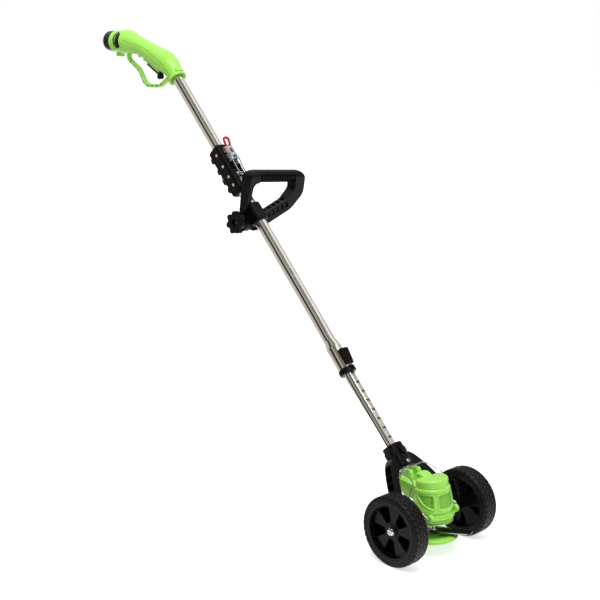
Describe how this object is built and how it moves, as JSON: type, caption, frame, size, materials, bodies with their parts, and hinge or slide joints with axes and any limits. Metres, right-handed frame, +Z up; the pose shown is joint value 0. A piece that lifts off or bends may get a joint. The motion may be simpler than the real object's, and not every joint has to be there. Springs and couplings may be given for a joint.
{
  "type": "lawn edger",
  "caption": "Stick lawn edger with a folding telescopic pole, pistol grip, loop handle, wheeled yoke and tilting motor head with a flat blade.",
  "frame": {"origin": "on the ground plane, below the centre of the bounding box, with the machine standing on its wheels as in use", "axes": "+X to the right of the user, +Y forward and away from the user, +Z up; the pole rises backwards at 46.9 degrees"},
  "size_m": [0.2652, 1.0952, 0.9844],
  "materials": {
    "lime_plastic": "semi-gloss moulded plastic, lime green",
    "black_plastic": "fine-grained moulded plastic, black",
    "tyre_rubber": "matt moulded rubber, black",
    "chromed_tube": "bright drawn tube",
    "zinc_steel": "bright zinc-plated steel",
    "red_plastic": "red dipped coating",
    "blade_steel": "black blade with bright ground edges",
    "grey_casting": "die-cast, satin"
  },
  "bodies": {
    "grip_body": {"grip_shell_right": "lime_plastic", "grip_shell_left": "lime_plastic", "grip_badge": "black_plastic", "grip_screws": "zinc_steel", "trigger_pin": "zinc_steel", "trigger_switch": "black_plastic", "trigger_spring": "zinc_steel", "contact_block": "black_plastic", "upper_tube": "chromed_tube", "upper_sleeve_right": "black_plastic", "upper_sleeve_left": "black_plastic", "upper_sleeve_screws": "zinc_steel", "fold_pin": "zinc_steel", "latch_base": "zinc_steel", "latch_pin": "zinc_steel"},
    "battery_body": {"battery_pack": "black_plastic"},
    "trigger_body": {"trigger": "black_plastic"},
    "lever_body": {"latch_lever": "zinc_steel", "latch_grip": "red_plastic"},
    "bail_body": {"latch_bail": "zinc_steel"},
    "middle_body": {"lower_sleeve_right": "black_plastic", "lower_sleeve_left": "black_plastic", "lower_sleeve_screws": "zinc_steel", "latch_catch": "zinc_steel", "mid_tube": "chromed_tube", "collar_bush": "black_plastic", "lock_spring": "zinc_steel"},
    "lock_body": {"lock_button": "black_plastic"},
    "clamp_body": {"handle_clamp": "black_plastic"},
    "loop_body": {"loop_handle": "black_plastic", "handle_bolt": "zinc_steel", "handle_washer": "zinc_steel"},
    "knob_body": {"star_knob": "black_plastic"},
    "lower_body": {"lower_tube": "chromed_tube", "tube_top_bush": "black_plastic", "fork": "black_plastic", "fork_screw": "zinc_steel", "pivot_block": "grey_casting", "tilt_pin": "zinc_steel", "wheel_axles": "zinc_steel", "axle_nuts": "zinc_steel"},
    "button_body": {"fork_button": "black_plastic"},
    "wheel_right_body": {"wheel_right": "black_plastic", "tyre_right": "tyre_rubber"},
    "wheel_left_body": {"wheel_left": "black_plastic", "tyre_left": "tyre_rubber"},
    "head_body": {"motor_housing": "lime_plastic", "motor_cap": "lime_plastic", "housing_screws": "zinc_steel", "motor": "zinc_steel", "guard_flange": "lime_plastic", "spindle_bearing": "zinc_steel"},
    "wire_body": {"wire_guard": "zinc_steel"},
    "spindle_body": {"spindle": "zinc_steel", "blade": "blade_steel", "blade_nut": "zinc_steel", "disc_screw": "zinc_steel"},
    "disc_body": {"glide_disc": "lime_plastic"}
  },
  "joints": [
    {"name": "battery_slide", "type": "slide", "parent": "grip_body", "child": "battery_body", "axis": [0, -0.9977, 0.068], "range_m": [0, 0.05]},
    {"name": "trigger_pull", "type": "hinge", "parent": "grip_body", "child": "trigger_body", "pos_m": [0.01396, -0.37867, 0.91206], "axis": [1, 0, 0], "range_deg": [0, 7], "stiffness_Nm_per_rad": 1.2, "springref_deg": -4.58, "deforming": ["trigger_spring"]},
    {"name": "fold", "type": "hinge", "parent": "grip_body", "child": "middle_body", "pos_m": [0.01396, -0.11399, 0.65848], "axis": [-1, 0, 0], "range_deg": [0, 150]},
    {"name": "latch_lever", "type": "hinge", "parent": "grip_body", "child": "lever_body", "pos_m": [0.01396, -0.09119, 0.70584], "axis": [-1, 0, 0], "range_deg": [0, 150]},
    {"name": "latch_bail", "type": "hinge", "parent": "lever_body", "child": "bail_body", "pos_m": [0.01396, -0.09894, 0.71777], "axis": [-1, 0, 0], "range_deg": [-180, 0]},
    {"name": "lock_slide", "type": "slide", "parent": "middle_body", "child": "lock_body", "axis": [0, -0.6833, 0.7302], "range_m": [0, 0.006], "stiffness_N_per_m": 800, "springref_m": -0.004, "deforming": ["lock_spring"]},
    {"name": "handle_slide", "type": "slide", "parent": "middle_body", "child": "clamp_body", "axis": [0, -0.6833, 0.7302], "range_m": [-0.24, 0]},
    {"name": "handle_tilt", "type": "hinge", "parent": "clamp_body", "child": "loop_body", "pos_m": [0.01631, -0.04104, 0.57336], "axis": [0.9962, 0.0636, 0.0596], "range_deg": [-75, 0]},
    {"name": "knob_turn", "type": "hinge", "parent": "loop_body", "child": "knob_body", "pos_m": [0.04401, -0.03927, 0.57501], "axis": [0.9962, 0.0636, 0.0596], "range_deg": [0, 540]},
    {"name": "telescope", "type": "slide", "parent": "middle_body", "child": "lower_body", "axis": [0, -0.6833, 0.7302], "range_m": [0, 0.15]},
    {"name": "fork_button_press", "type": "slide", "parent": "lower_body", "child": "button_body", "axis": [0, -0.7302, -0.6833], "range_m": [0, 0.002], "stiffness_N_per_m": 600, "springref_m": -0.002},
    {"name": "wheel_right_spin", "type": "hinge", "parent": "lower_body", "child": "wheel_right_body", "pos_m": [0.11461, 0.46987, 0.06675], "axis": [1, 0, 0], "continuous": true},
    {"name": "wheel_left_spin", "type": "hinge", "parent": "lower_body", "child": "wheel_left_body", "pos_m": [-0.08669, 0.46987, 0.06675], "axis": [1, 0, 0], "continuous": true},
    {"name": "head_tilt", "type": "hinge", "parent": "lower_body", "child": "head_body", "pos_m": [0.01396, 0.41248, 0.12808], "axis": [1, 0, 0], "range_deg": [-30, 15]},
    {"name": "wire_swing", "type": "hinge", "parent": "head_body", "child": "wire_body", "pos_m": [0.01396, 0.49788, 0.07796], "axis": [-1, 0, 0], "range_deg": [0, 170]},
    {"name": "spindle_spin", "type": "hinge", "parent": "head_body", "child": "spindle_body", "pos_m": [0.01396, 0.4778, 0.03815], "axis": [0, -0.0958, 0.9954], "continuous": true},
    {"name": "disc_spin", "type": "hinge", "parent": "spindle_body", "child": "disc_body", "pos_m": [0.01396, 0.47887, 0.027], "axis": [0, -0.0958, 0.9954], "continuous": true}
  ],
  "couplings": [
    {"joint": "latch_lever", "follows": "fold", "ratio": 1},
    {"joint": "latch_bail", "follows": "fold", "ratio": -1.2}
  ]
}
